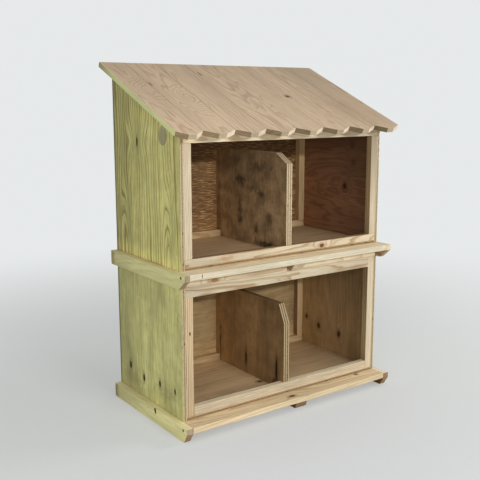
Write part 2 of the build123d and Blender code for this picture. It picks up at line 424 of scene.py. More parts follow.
feed(grain, gives["Broad"], stretched(grain, takes["Log"], broad_patches, 3.0, 7.3))

# A knot: a dark core, a halo round it, and a lift that turns the rings round it
knot_rag = 0.003
rags_per_metre = 260.0
knot_group, takes, gives = new_group(
    "knot",
    [("Place", "Vector"), ("Centre", "Vector"), ("Reach", "Vector")],
    [("Core", "Float"), ("Halo", "Float"), ("Lift", "Float"), ("Near", "Vector")],
)
offset = vector(knot_group, "SUBTRACT", takes["Place"], takes["Centre"])
near = vector(knot_group, "DIVIDE", offset, takes["Reach"])
feed(knot_group, gives["Near"], near)
feed(knot_group, gives["Lift"], ramp(knot_group, vector(knot_group, "LENGTH", near), 0.0, 4.5, 1.0, 0.0))
ragged = add(knot_group, "ShaderNodeTexNoise", takes["Place"], None, rags_per_metre, 2.0).outputs["Color"]
ragged = scaled(knot_group, vector(knot_group, "SUBTRACT", ragged, (0.5, 0.5, 0.5)), knot_rag)
near = vector(knot_group, "DIVIDE", vector(knot_group, "ADD", offset, ragged), takes["Reach"])
far = vector(knot_group, "LENGTH", near)
feed(knot_group, gives["Core"], ramp(knot_group, far, 0.65, 1.05, 1.0, 0.0))
feed(knot_group, gives["Halo"], ramp(knot_group, far, 0.8, 2.3, 1.0, 0.0))

# A stain: a soft blotch with a wandering rim, as damp and dirt leave on bare wood
stain_rag = 2.2
clouds_per_metre = 75.0
stain_group, takes, gives = new_group(
    "stain", [("Place", "Vector"), ("Centre", "Vector"), ("Reach", "Vector")], [("Amount", "Float")]
)
near = vector(stain_group, "SUBTRACT", takes["Place"], takes["Centre"])
far = vector(stain_group, "LENGTH", vector(stain_group, "DIVIDE", near, takes["Reach"]))
coarse = plus(stain_group, cloudy(stain_group, takes["Place"], clouds_per_metre, 4.0), -0.5)
far = plus(stain_group, far, times(stain_group, coarse, stain_rag))
feed(stain_group, gives["Amount"], ramp(stain_group, far, 0.1, 1.3, 1.0, 0.0))


def paint(red, green, blue):
    """A colour given as it looks on a screen, 0 to 255, as the shaders want it."""
    linear = []
    for part in (red, green, blue):
        share = part / 255.0
        linear.append(share / 12.92 if share <= 0.04045 else ((share + 0.055) / 1.055) ** 2.4)
    return (*linear, 1.0)


def coat(tree, shader, colour, shine, height, strength, depth):
    """Give a shader its colour, its roughness and a height that roughens the surface."""
    bump = add(tree, "ShaderNodeBump")
    bump.inputs["Strength"].default_value = strength
    bump.inputs["Distance"].default_value = depth
    tree.links.new(height, bump.inputs["Height"])
    tree.links.new(colour, shader.inputs["Base Color"])
    tree.links.new(shine, shader.inputs["Roughness"])
    tree.links.new(bump.outputs[0], shader.inputs["Normal"])


def timber(
    name, early, late, ring, drift, contrast=0.8, patch=0.12, fibre=0.1, rough=0.62, halo=None, core=None,
    knots=(), lift=0.006, stains=(), streak=None, mottle=0.0, painted_shade=(), arches=(), pinch=None,
):
    """Sawn wood: rings, fibres and streaks by the place in the log; knots, stains and painted shade by place.

    Early and late are the colours in the rings, halo and core those of knots; stains have the halo's.
    Knots, stains, arches and the pinch give a centre, a reach and an amount. A painted shade row gives an
    axis, the start and the end along it, and the shade at each; it darkens the wood where shade falls and
    lightens it where light falls.
    """
    halo_share = 0.55
    streak_start = 0.51
    streak_full = 0.62
    mottles_per_metre = 24.0
    grain_depth = 0.0006
    material, tree, shader, place = new_material(name, 0.25)
    log = add(tree, "ShaderNodeAttribute", attribute_name="log").outputs["Vector"]
    tone = add(tree, "ShaderNodeAttribute", attribute_name="tone").outputs["Fac"]

    def mark(group, centre, reach):
        """A knot or a stain at its place in this wood."""
        return add(tree, "ShaderNodeGroup", place, centre, reach, node_tree=group).outputs

    cores, halos, lifted = [], [], 0.0
    for centre, reach, darkness in knots:
        knot = mark(knot_group, centre, reach)
        cores.append(times(tree, knot["Core"], darkness))
        halos.append(times(tree, knot["Halo"], halo_share * darkness))
        lifted = plus(tree, lifted, times(tree, knot["Lift"], lift))
    for centre, reach, amount in arches:
        lifted = plus(tree, lifted, times(tree, mark(knot_group, centre, reach)["Lift"], amount))
    if pinch:
        centre, reach, amount = pinch
        near = mark(knot_group, centre, reach)["Near"]
        aside = add(tree, "ShaderNodeSeparateXYZ", near).outputs["Y"]
        drawn = figure(tree, "DIVIDE", aside, plus(tree, vector(tree, "DOT_PRODUCT", near, near), 1.0))
        lifted = plus(tree, lifted, times(tree, drawn, reach[1] * amount))
    sawn = add(tree, "ShaderNodeGroup", log, lifted, ring, drift, node_tree=grain).outputs
    rings, strand, broad = (sawn[label] for label in ("Late", "Fibre", "Broad"))
    colour = colour_mix(tree, times(tree, rings, contrast), paint(*early), paint(*late))
    patched = ramp(tree, broad, 0.25, 0.75, 1.0 - patch, 1.0 + patch)
    lined = ramp(tree, strand, 0.25, 0.75, 1.0 - fibre, 1.0 + fibre)
    shade = times(tree, times(tree, patched, lined), tone)
    if streak:
        along, across, amount, torn_colour = streak
        torn = stretched(tree, log, (along, across, across), 2.0, 5.9)
        torn = ramp(tree, torn, streak_start, streak_full, 0.0, amount)
        colour = colour_mix(tree, torn, colour, paint(*torn_colour))
    if mottle:
        cloud = cloudy(tree, place, mottles_per_metre, 6.0, 0.65)
        shade = times(tree, shade, ramp(tree, cloud, 0.35, 0.65, 1.0 - mottle, 1.0 + 0.4 * mottle))
    places = add(tree, "ShaderNodeSeparateXYZ", place).outputs
    # Painted shade and light: the wood darkened or lightened along an axis, where shade or light falls.
    for axis, start, end, low, high in painted_shade:
        shade = times(tree, shade, ramp(tree, places[axis], start, end, low, high))
    colour = scaled(tree, colour, shade)
    height = plus(tree, times(tree, rings, 0.5), times(tree, strand, 0.5))
    for rim, heart in zip(halos, cores):
        colour = colour_mix(tree, rim, colour, paint(*halo))
        colour = colour_mix(tree, heart, colour, paint(*core))
        height = figure(tree, "SUBTRACT", height, heart)
    for centre, reach, darkness in stains:
        stained = times(tree, mark(stain_group, centre, reach)["Amount"], darkness)
        colour = colour_mix(tree, stained, colour, paint(*halo))
    shine = ramp(tree, rings, 0.0, 1.0, rough + 0.08, rough - 0.06)
    coat(tree, shader, colour, shine, height, 0.25, grain_depth)
    return material


def marks(face, depth, rows):
    """Marks on an upright face that looks left or right, from rows of back, up, width, height, amount."""
    return [((face, y, z), (depth, wide, tall), amount) for y, z, wide, tall, amount in rows]


runner_face = ends_of("lower_runner_left", right)[0]
lower_chip = ((runner_face, -0.03, 0.0345), (0.004, 0.0042, 0.0095), -0.5)
runner_stains = marks(runner_face, 0.02, [(0.194, 0.02, 0.018, 0.05, 0.7), (0.194, 0.398, 0.02, 0.05, 0.6)])
# Painted shade: the runner pine darkens towards the back.
runner_wood = timber(
    "runner_pine", (240, 233, 168), (218, 208, 144), 0.0034, 0.009, contrast=0.6,
    halo=(120, 98, 60), stains=runner_stains, painted_shade=[("Y", -0.02, 0.2, 1.0, 0.74)],
)
runner_tops = timber("runner_top_pine", (238, 227, 173), (206, 191, 139), 0.004, 0.006)
plain_runner_wood = timber("plain_runner_pine", (226, 206, 170), (192, 162, 122), 0.005, 0.008)
# Painted light: a near-white top for the lower right runner, where strong light falls on it.
lit_runner_tops = timber("lit_runner_top", (246, 230, 216), (226, 204, 184), 0.005, 0.008)
# Painted shade: a dark copy of the runner pine for faces in shade under the deck, and for the wall of the
# stile's dent.
shaded_runner_wood = timber("shaded_runner_pine", (104, 78, 52), (72, 52, 34), 0.004, 0.006)
# Painted shade: the walls of hollows, cracks and screw holes are a dark brown, for the shade inside them.
dark_hollow = timber("dark_hollow", (62, 46, 28), (42, 30, 18), 0.004, 0.004, rough=0.8)
# Painted shade: the first of these is a darker sawn clip, for clips and sides that face away from the light.
shaded_clips, runner_ends, runner_clips = (
    timber(name, early, late, 0.004, 0.003, contrast=0.9, fibre=0.18, rough=0.8)
    for name, early, late in (
        ("shaded_sawn_clip", (158, 130, 97), (118, 93, 67)),
        ("runner_sawn_end", (174, 156, 130), (128, 112, 92)),
        ("runner_sawn_clip", (176, 150, 118), (132, 108, 82)),
    )
)
screw_hole_wall = 0.00374
screw_middles = {}
for unit in ("lower", "upper"):
    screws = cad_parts[f"{unit}_runner_screws"]
    screw_middles[unit] = [sum(span(screws, way)) / 2 for way in (back, up)]


def in_screw_hole(piece, side, unit):
    """Whether a face belongs to the wall of a runner's screw hole."""
    y, z = screw_middles[unit]
    corners = [piece.data.vertices[corner].co for corner in side.vertices]
    return max(math.hypot(co.y - y, co.z - z) for co in corners) < screw_hole_wall


# In the table, the darker inner and clip skins of the right and centre runners are painted shade, where the
# deck and the box shade them; the near-white top of the lower right runner and the paler ends and clips of
# the upper centre runner are painted light.
for node, face, off, depth, tone, wood, ends, tops, clips, inner in (
    ("lower_runner_left", left, 0.01, 0.06, 1.03,
     runner_wood, runner_ends, runner_tops, shaded_clips, runner_wood),
    ("lower_runner_right", right, -0.02, 0.08, 1.03,
     plain_runner_wood, shaded_clips, lit_runner_tops, shaded_clips, shaded_runner_wood),
    ("lower_runner_centre", down, 0.02, 0.05, 0.8,
     runner_tops, runner_clips, runner_tops, shaded_clips, shaded_runner_wood),
    ("upper_runner_left", left, -0.015, 0.09, 0.92,
     runner_wood, runner_ends, runner_tops, runner_clips, runner_wood),
    ("upper_runner_right", right, 0.02, 0.07, 1.02,
     plain_runner_wood, plain_runner_wood, plain_runner_wood, runner_clips, shaded_clips),
    ("upper_runner_centre", down, -0.02, 0.06, 0.84,
     runner_tops, plain_runner_wood, runner_tops, plain_runner_wood, runner_clips),
):
    chips = [lower_chip] if node == "lower_runner_left" else []
    skins = [wood, ends, dark_hollow, tops, clips, inner]
    piece = board(node, skins, back, face, off, depth, tone, runner_ease, chips)
    for side in piece.data.polygons:
        if in_screw_hole(piece, side, node[:5]):
            wear(piece, side, dark_hollow)
        elif side.material_index == 0 and looks(side, up):
            wear(piece, side, tops)
        elif side.material_index == 1 and looks(side, down, 0.2):
            wear(piece, side, clips)
        elif not node.endswith("left") and looks(side, left):
            wear(piece, side, inner)


# The decks: three pine boards edge to edge on the runners, whose front one makes the ledge that
# the hens hop on to. They are planed, a little worn at the front, and the ends meet the runners.
deck_top = ends_of("lower_deck_board_1", up)[1]
deck_nose = ends_of("upper_deck_board_1", back)[0]
deck_knots = [
    ((0.0044, -0.1664, deck_top), (0.011, 0.006, 0.012), 1.0),
    ((0.2575, -0.1455, deck_top), (0.0065, 0.0045, 0.006), 1.0),
]
nose_crack = ((-0.2882, deck_nose, 0.411), (0.0009, 0.0025, 0.0055))
nose_streak = (20.0, 160.0, 0.5, (212, 206, 186))
deck_wood = timber(
    "deck_pine", (215, 195, 158), (178, 147, 106), 0.0055, 0.012, contrast=0.75,
    halo=(150, 104, 62), core=(88, 56, 34), knots=deck_knots,
)
# Painted light: a paler copy of the deck pine, for the top of the upper deck's front board and of the lower
# bottom rail.
deck_pale_wood = timber("deck_pale_pine", (232, 216, 182), (204, 178, 140), 0.0055, 0.012, contrast=0.75)
deck_ends = timber(
    "deck_sawn_end", (190, 160, 118), (150, 118, 80), 0.004, 0.003, contrast=0.9, fibre=0.16, rough=0.8
)
deck_noses = timber(
    "deck_worn_edge", (203, 193, 168), (178, 158, 127), 0.004, 0.008, contrast=0.6, streak=nose_streak
)
for unit in ("lower", "upper"):
    for number, off, depth, tone in ((1, 0.012, 0.055, 1.1), (2, -0.03, 0.07, 0.97), (3, 0.02, 0.05, 0.95)):
        node = f"{unit}_deck_board_{number}"
        cracks = [nose_crack] if node == "upper_deck_board_1" else []
        skins = [deck_pale_wood if cracks else deck_wood, deck_ends, dark_hollow, deck_noses]
        piece = board(node, skins, right, up, off, depth, tone, hollows=cracks)
        for side in piece.data.polygons:
            if cracks and side.material_index == 0 and looks(side, front, 0.5):
                wear(piece, side, deck_noses)


# The blocking: pine strips under the upper deck, front and back, each side of its centre runner,
# so that the upper unit sits on the lower one all along its edges.
front_face = ends_of("upper_front_blocking", back)[0]
# Painted light: the blocking pine grows paler towards the right.
blocking_wood = timber(
    "blocking_pine", (216, 198, 166), (186, 156, 116), 0.0045, 0.012,
    halo=(150, 112, 72), core=(158, 112, 70),
    knots=[((-0.2245, front_face, 0.3838), (0.013, 0.012, 0.0058), 1.0)], lift=0.008,
    painted_shade=[("X", 0.01, 0.06, 1.0, 1.16)],
)
frame_ends = timber(
    "frame_sawn_end", (196, 162, 118), (158, 118, 78), 0.0035, 0.003, contrast=0.9, fibre=0.16, rough=0.8
)
for node, face, off in (("upper_front_blocking", front, 0.01), ("upper_back_blocking", back, -0.02)):
    board(node, [blocking_wood, frame_ends], right, face, off, 0.06, 0.94)


# The ply panels: floor, sides, back and divider of each unit are cut from softwood plywood, whose
# peeled face veneers show broad wild grain and whose edges show the layers and glue lines.
def ply_edge(name, pale, dark, sheets, thickness):
    """The layered edge of plywood: pale sheets, darker end-grain ones with some voids, thin glue lines."""
    glue_share = 0.12
    sheet_wave = 0.0012
    waves_per_metre = 30.0
    voids_per_metre = 70.0
    specks_per_metre = 420.0
    edge_depth = 0.0006
    glue_colour = paint(*[part * 0.5 for part in dark])
    void_colour = paint(*[part * 0.3 for part in dark])
    material, tree, shader, place = new_material(name, 0.2)
    through = add(tree, "ShaderNodeAttribute", attribute_name="through").outputs["Fac"]
    tone = add(tree, "ShaderNodeAttribute", attribute_name="tone").outputs["Fac"]
    wave = plus(tree, cloudy(tree, place, waves_per_metre, 2.0), -0.5)
    through = plus(tree, plus(tree, through, thickness / 2), times(tree, wave, sheet_wave))
    count = figure(tree, "DIVIDE", through, thickness / sheets)
    odd = figure(tree, "FRACT", times(tree, figure(tree, "FLOOR", count), 0.5))
    odd = figure(tree, "GREATER_THAN", odd, 0.25)
    inside = figure(tree, "FRACT", count)
    near_glue = ramp(tree, inside, 0.0, glue_share, 1.0, 0.0)
    glue = plus(tree, near_glue, ramp(tree, inside, 1.0 - glue_share, 1.0, 0.0, 1.0))
    void = ramp(tree, cloudy(tree, place, voids_per_metre, 1.0), 0.64, 0.68, 0.0, 0.85)
    speck = cloudy(tree, place, specks_per_metre, 3.0)
    colour = colour_mix(tree, odd, paint(*pale), paint(*dark))
    colour = colour_mix(tree, times(tree, glue, 0.55), colour, glue_colour)
    colour = colour_mix(tree, times(tree, void, odd), colour, void_colour)
    colour = scaled(tree, colour, times(tree, ramp(tree, speck, 0.3, 0.7, 0.8, 1.15), tone))
    height = figure(tree, "SUBTRACT", speck, glue)
    coat(tree, shader, colour, ramp(tree, speck, 0.3, 0.7, 0.75, 0.92), height, 0.4, edge_depth)
    return material


def score_oval(piece, centre, reach):
    """Score the oval outline of a let-in patch into a side panel."""
    line = 0.04
    bpy.ops.mesh.primitive_torus_add(
        location=centre, rotation=(0.0, math.pi / 2, 0.0),
        major_segments=48, minor_segments=8, minor_radius=line,
    )
    cutter = bpy.context.active_object
    cutter.scale = (reach[2], reach[1], reach[0] / line)
    carve(piece, cutter)


def panel(
    node, skins, along, face, tone=1.0, off=0.15, depth=0.2, ease=0.0004,
    hollows=(), patches=(), tears=(),
):
    """A ply panel: a copy of its solid, eased, hollowed and laid in its log.

    Its skins go on the outer face, the inner face, the edges and tears, the hollows and the patches.
    """
    cut_step = 0.06
    bow = 0.00025
    bow_length = 0.2
    draw = random.Random(node)
    piece = solid_copy(node, "ply")
    cut_across(piece, along, cut_step)
    ease_edges(piece, ease)
    for shape in (*hollows, *tears):
        hollow(piece, *shape)
    for shape in patches:
        score_oval(piece, *shape)
    heart = Vector((draw.uniform(-log_length, log_length), off, depth))
    lay_in_log(piece, along, face, heart, 0.0, tone)
    for skin in skins:
        piece.data.materials.append(skin)
    for side in piece.data.polygons:
        side.material_index = 0 if looks(side, face) else 1 if looks(side, -face) else 2
        for number, shapes in ((4, patches), (2, tears), (3, hollows)):
            if any(in_hollow(piece, side, *shape) for shape in shapes):
                side.material_index = number
        side.use_smooth = False
    wander(piece, draw.uniform(0, 50), bow, bow_length)
    settle(piece, node)
    return piece


# The floors: plywood on the deck, between the sides, with its front edge showing as a thin dark
# line under the bottom rail. The top face is bare, with painted shade just behind the bottom rail and
# towards the right wall, and painted light towards the back.
floor_sheets = 3
floor_thickness = 0.008
floor_ease = 0.0013
floor_veneer = timber(
    "floor_veneer", (207, 179, 140), (181, 151, 114), 0.016, 0.05, contrast=0.5, patch=0.1,
    halo=(100, 72, 48), core=(60, 40, 26), knots=[((-0.0145, -0.0465, 0.046), (0.0095, 0.007, 0.006), 0.8)],
    painted_shade=[("Y", -0.122, -0.03, 0.8, 1.0), ("Y", 0.0, 0.16, 1.0, 1.12), ("X", 0.15, 0.32, 1.0, 0.72)],
)
floor_edge = ply_edge("floor_ply_edge", (178, 152, 114), (130, 105, 76), floor_sheets, floor_thickness)
for unit, tone in (("lower", 1.06), ("upper", 1.04)):
    skins = [floor_veneer, floor_veneer, floor_edge]
    panel(f"{unit}_floor", skins, right, up, tone, ease=floor_ease)


# The backs: one plywood panel closes each unit behind, between the sides, with the grain of its
# face lying level. The upper one runs up to the roof, and its top edge follows the slope.
panel_sheets = 3
panel_thickness = 0.0095
# Pale streaks of torn fibre on the upper back, partly painted glints of light.
torn_fibre_glints = (38.0, 430.0, 0.85, (204, 164, 112))
outer_early = (219, 213, 139)
outer_late = (146, 126, 46)
# Painted shadow along the top of the upper back under the top rail, and painted shade and light across it.
upper_back_veneer = timber(
    "upper_back_veneer", (134, 100, 64), (106, 76, 46), 0.01, 0.03, contrast=0.4, fibre=0.2,
    streak=torn_fibre_glints,
    painted_shade=[
        ("Z", 0.62, 0.72, 1.0, 0.68),
        ("Z", 0.44, 0.6, 1.25, 0.92),
        ("X", -0.075, -0.01, 0.86, 1.24),
        ("X", 0.0, 0.1, 1.0, 0.7),
    ],
)
# Painted light towards the foot of the lower back, and painted shade towards its right.
lower_back_veneer = timber(
    "lower_back_veneer", (188, 160, 115), (158, 129, 86), 0.014, 0.04, contrast=0.5, fibre=0.14, mottle=0.14,
    painted_shade=[("X", -0.1, 0.1, 1.08, 0.78), ("X", -0.075, -0.01, 0.88, 1.08), ("Z", 0.075, 0.14, 1.5, 1.0)],
)
back_outer_veneer = timber("back_outer_veneer", outer_early, outer_late, 0.014, 0.05, contrast=0.45)
ply_edges = ply_edge("panel_ply_edge", (196, 178, 142), (158, 136, 104), panel_sheets, panel_thickness)
for node, veneer, off in (("upper_back", upper_back_veneer, 0.15), ("lower_back", lower_back_veneer, 0.09)):
    panel(node, [veneer, back_outer_veneer, ply_edges], right, front, off=off)


# The sides: green-tinted treated plywood with the ends of the deck under it. The grain is upright
# on all but the upper right one. The left ones have open knots and the upper left a let-in patch.
left_face = ends_of("upper_side_left", right)[0]
inner_face, right_face = ends_of("upper_side_right", right)
knot_depth = 0.006
slot_depth = 0.0022
slot_wide = 0.8
slot_tall = 0.85
patch = ((left_face, -0.063, 0.7355), (0.0008, 0.02, 0.024))
outer_knots = marks(left_face, knot_depth, [
    (0.0679, 0.7149, 0.004, 0.013, 1.0),
    (0.1357, 0.1057, 0.006, 0.0112, 1.0),
    (0.0605, 0.0915, 0.0054, 0.0112, 1.0),
    (-0.0251, 0.1005, 0.0048, 0.0096, 1.0),
    (-0.1009, 0.1031, 0.0036, 0.0085, 0.9),
])
knot_slots = [
    (centre, (slot_depth, reach[1] * slot_wide, reach[2] * slot_tall))
    for centre, reach, darkness in outer_knots
]
upper_inner_knots = marks(inner_face, knot_depth, [
    (-0.0433, 0.6871, 0.01, 0.011, 0.3),
    (-0.0492, 0.6413, 0.01, 0.011, 0.3),
    (-0.0138, 0.5683, 0.008, 0.01, 0.85),
])
lower_inner_knots = marks(inner_face, knot_depth, [
    (0.1493, 0.1325, 0.006, 0.007, 0.9),
    (0.0902, 0.1153, 0.0075, 0.0105, 0.85),
    (-0.0031, 0.1113, 0.007, 0.011, 0.9),
])
foot_stains = marks(left_face, 0.01, [
    (0.13, 0.072, 0.06, 0.022, 0.35),
    (-0.06, 0.085, 0.06, 0.022, 0.35),
])
upper_streaks = marks(left_face, 0.01, [
    (0.068, 0.52, 0.016, 0.22, 0.25),
    (-0.087, 0.67, 0.012, 0.08, 0.25),
])
knot_pinch = ((left_face, 0.0679, 0.7149), (0.03, 0.022, 0.02), 2.2)
veneer_arches = marks(left_face, 0.03, [
    (0.135, 0.4, 0.01, 0.062, 0.058),
    (-0.085, 0.4, 0.0105, 0.062, 0.062),
])


def torn_edge(face, rows):
    """Tears down the front edge of a side, from rows of height, width, depth and length."""
    return [((face, front_face, z), (wide, deep, tall)) for z, wide, deep, tall in rows]


upper_tears = torn_edge(right_face, [
    (0.7385, 0.002, 0.004, 0.005),
    (0.7225, 0.0026, 0.005, 0.0062),
    (0.704, 0.0018, 0.003, 0.004),
    (0.691, 0.0024, 0.004, 0.006),
    (0.67, 0.0016, 0.003, 0.0036),
    (0.656, 0.0022, 0.004, 0.005),
])
lower_tears = torn_edge(left_face, [
    (0.302, 0.0016, 0.003, 0.006),
    (0.276, 0.002, 0.0036, 0.0085),
    (0.254, 0.0024, 0.004, 0.009),
    (0.229, 0.0018, 0.003, 0.006),
    (0.195, 0.0014, 0.0026, 0.007),
    (0.148, 0.0016, 0.0028, 0.005),
])
# Painted shade: the outer veneers of the sides darken towards the back, ending in a thin dark line along the
# back edge.
back_shade = [("Y", 0.02, 0.19, 1.02, 0.74), ("Y", 0.1875, 0.1955, 1.0, 0.36)]
# Painted shade towards the top of the upper left side, and painted light at its foot above the runner.
upper_outer_veneer = timber(
    "upper_outer_veneer", outer_early, outer_late, 0.012, 0.028, contrast=0.8, patch=0.18, fibre=0.2,
    mottle=0.1, halo=(128, 112, 60), core=(52, 40, 22), knots=outer_knots[:1], stains=upper_streaks,
    arches=veneer_arches, pinch=knot_pinch,
    painted_shade=[*back_shade, ("Z", 0.45, 0.8, 1.06, 0.88), ("Z", 0.418, 0.465, 1.42, 1.0)],
)
lower_outer_veneer = timber(
    "lower_outer_veneer", (209, 205, 137), (176, 167, 94), 0.006, 0.03, contrast=0.4, patch=0.22, fibre=0.18,
    mottle=0.12, halo=(122, 104, 62), core=(50, 38, 22), knots=outer_knots[1:], stains=foot_stains,
    painted_shade=back_shade,
)
patch_veneer = timber("patch_veneer", (176, 170, 128), (124, 118, 84), 0.004, 0.01, contrast=0.7, mottle=0.2)
# Painted shade on both inner veneers: darker towards the top and the front, lighter towards the back.
upper_inner_veneer = timber(
    "upper_inner_veneer", (140, 102, 74), (108, 72, 48), 0.0085, 0.05, contrast=0.62,
    halo=(70, 42, 26), core=(34, 20, 14), knots=upper_inner_knots, lift=0.02,
    painted_shade=[("Z", 0.5, 0.74, 1.05, 0.64), ("Y", -0.12, 0.16, 0.72, 1.28), ("Y", 0.08, 0.16, 1.0, 1.16)],
)
lower_inner_veneer = timber(
    "lower_inner_veneer", (174, 144, 102), (140, 110, 72), 0.012, 0.04, contrast=0.36, fibre=0.16, mottle=0.1,
    halo=(84, 60, 36), core=(40, 26, 16), knots=lower_inner_knots, lift=0.02,
    painted_shade=[("Y", -0.12, 0.17, 0.68, 1.2), ("Z", 0.1, 0.36, 1.08, 0.8)],
)
upper_skins = [upper_outer_veneer, upper_inner_veneer, ply_edges, dark_hollow, patch_veneer]
right_skins = [back_outer_veneer, *upper_skins[1:]]
lower_skins = [lower_outer_veneer, lower_inner_veneer, ply_edges, dark_hollow]
panel(
    "upper_side_left", upper_skins, up, left, off=0.19, depth=0.05,
    hollows=knot_slots[:1], patches=[patch],
)
panel("upper_side_right", right_skins, back, right, tears=upper_tears)
panel("lower_side_left", lower_skins, up, left, hollows=knot_slots[1:], tears=lower_tears)
panel("lower_side_right", lower_skins, up, right, tone=0.97)


# The battens: pine strips in the corners behind, along the foot of each back and up its sides, and
# along the top of the lower back. They give the thin panels something to hold to.
batten_wood = timber("batten_pine", (216, 188, 142), (182, 147, 100), 0.004, 0.006)
for node, along, off, depth in (
    ("lower_back_batten", right, 0.02, 0.05),
    ("lower_back_top_batten", right, -0.03, 0.06),
    ("lower_corner_batten_left", up, 0.04, 0.03),
    ("lower_corner_batten_right", up, 0.05, 0.03),
    ("upper_back_batten", right, 0.01, 0.07),
    ("upper_corner_batten_left", up, -0.04, 0.03),
    ("upper_corner_batten_right", up, 0.05, 0.02),
):
    skins = [batten_wood, frame_ends, shaded_clips]
    piece = board(node, skins, along, front, off, depth)
    for side in piece.data.polygons:
        # Painted shade: the lower right corner batten's side that looks left wears the darker sawn clip.
        if node == "lower_corner_batten_right" and looks(side, left):
            wear(piece, side, shaded_clips)


# The front frames: planed pine strips round the open front of each unit, and the roof's back rail.
# The lower top rail laps over the left stile and stops at the right one; the upper stiles stand on
# the bottom rail.
planed = {"early": (216, 201, 172), "late": (176, 146, 108), "halo": (172, 118, 66), "core": (110, 70, 40)}
# Painted shade: a darker copy of the planed pine for the right stiles' inner faces, which look away from the
# light.
stile_inside = {"early": (178, 154, 114), "late": (140, 112, 76), "ring": 0.004, "drift": 0.006}
stile_dent = ((-0.2972, front_face, 0.2602), (0.0018, 0.003, 0.005))
rail_knots = [((0.1223, front_face, 0.4321), (0.009, 0.006, 0.006), 1.0)]
rail_stains = [((-0.192, front_face, 0.434), (0.034, 0.01, 0.007), 0.55)]
lower_stile_wood = timber("lower_stile_pine", (216, 194, 154), (152, 112, 70), 0.0042, 0.006, contrast=0.9)
# Painted shade: both stile pines darken towards the top; the second, for the upper right stile under the
# roof, more.
stile_wood, shaded_stile_wood = (
    timber(name, **planed, ring=0.004, drift=0.005, contrast=0.7, painted_shade=[shade])
    for name, shade in (
        ("stile_pine", ("Z", 0.62, 0.8, 1.0, 0.76)),
        ("shaded_stile_pine", ("Z", 0.5, 0.76, 1.12, 0.66)),
    )
)
upper_stile_inner = timber("upper_stile_inner_pine", **stile_inside)
# Painted shade at the foot and towards the top of the lower right stile's inner face.
lower_stile_inner = timber(
    "lower_stile_inner_pine", **stile_inside,
    painted_shade=[("Z", 0.06, 0.12, 0.7, 1.0), ("Z", 0.14, 0.36, 1.0, 0.6)],
)
# Painted shade: the rail pine darkens towards the left.
rail_wood = timber(
    "rail_pine", **planed, ring=0.0048, drift=0.014, contrast=0.9, knots=rail_knots, stains=rail_stains,
    painted_shade=[("X", -0.3, 0.0, 0.84, 1.0)],
)
plain_rail_wood = timber("plain_rail_pine", **planed, ring=0.0048, drift=0.014, contrast=0.9)
straight_rail_wood = timber("straight_rail_pine", **planed, ring=0.0036, drift=0.006, fibre=0.16)
# Painted shade: the top rail pine darkens towards the right.
top_rail_wood = timber(
    "top_rail_pine", **planed, ring=0.0048, drift=0.014, contrast=0.6, painted_shade=[("X", -0.2, 0.32, 1.0, 0.6)]
)
# A darker top for the upper bottom rail.
rail_top_wood = timber("dark_rail_top", (158, 126, 92), (130, 102, 72), 0.004, 0.004)
# In the table, the upper right stile's low tone is painted shade under the roof, and the upper top rail's
# high tone is painted light.
for node, wood, along, off, depth, tone in (
    ("lower_stile_left", lower_stile_wood, up, 0.06, 0.03, 0.96),
    ("lower_stile_right", stile_wood, up, -0.06, 0.03, 1.04),
    ("lower_top_rail", rail_wood, right, 0.016, 0.05, 0.93),
    ("lower_bottom_rail", straight_rail_wood, right, -0.05, 0.03, 0.97),
    ("upper_bottom_rail", rail_wood, right, 0.012, 0.05, 0.96),
    ("upper_stile_left", stile_wood, up, 0.07, 0.02, 0.95),
    ("upper_stile_right", shaded_stile_wood, up, -0.07, 0.03, 0.79),
    ("upper_top_rail", top_rail_wood, right, 0.02, 0.05, 1.36),
    ("upper_roof_back_rail", plain_rail_wood, right, -0.02, 0.06, 0.9),
):
    dents = [stile_dent] if node == "lower_stile_left" else []
    tops = rail_top_wood if node == "upper_bottom_rail" else deck_pale_wood
    inner = lower_stile_inner if node.startswith("lower") else upper_stile_inner
    skins = [wood, frame_ends, shaded_runner_wood, inner, tops]
    piece = board(node, skins, along, front, off, depth, tone, hollows=dents)
    for side in piece.data.polygons:
        if "stile_right" in node and looks(side, left):
            wear(piece, side, inner)
        elif "bottom_rail" in node and looks(side, up):
            wear(piece, side, tops)


# The dividers: the ply wall between the two nests of each unit, notched over the bottom rail and
# round the back batten, with its top front corner sawn off. Its bare front edge shows the layers.
divider_thickness = 0.018
divider_sheets = 5
upper_divider_face = ends_of("upper_divider", right)[0]
lower_divider_face = ends_of("lower_divider", right)[0]
upper_divider_stains = marks(upper_divider_face, 0.02, [
    (0.0688, 0.5985, 0.026, 0.016, 0.8),
    (0.0689, 0.5225, 0.012, 0.034, 0.6),
    (-0.0292, 0.5692, 0.014, 0.014, 0.8),
    (0.02, 0.58, 0.04, 0.012, 0.5),
    (-0.007, 0.4732, 0.01, 0.014, 0.8),
    (0.07, 0.485, 0.014, 0.014, 0.7),
    (-0.065, 0.505, 0.014, 0.022, 0.6),
    (-0.03, 0.64, 0.06, 0.018, 0.5),
    (0.1, 0.65, 0.05, 0.02, 0.4),
    (-0.055, 0.433, 0.06, 0.014, 0.9),
])
lower_divider_stains = marks(lower_divider_face, 0.01, [
    (0.165, 0.1, 0.004, 0.06, 0.9),
    (-0.1, 0.06, 0.03, 0.012, 0.7),
    (-0.07, 0.275, 0.05, 0.03, 0.3),
])
lower_divider_cracks = marks(lower_divider_face, 0.006, [
    (0.0341, 0.0905, 0.004, 0.02, 1.0),
    (-0.1075, 0.097, 0.0045, 0.036, 1.0),
])
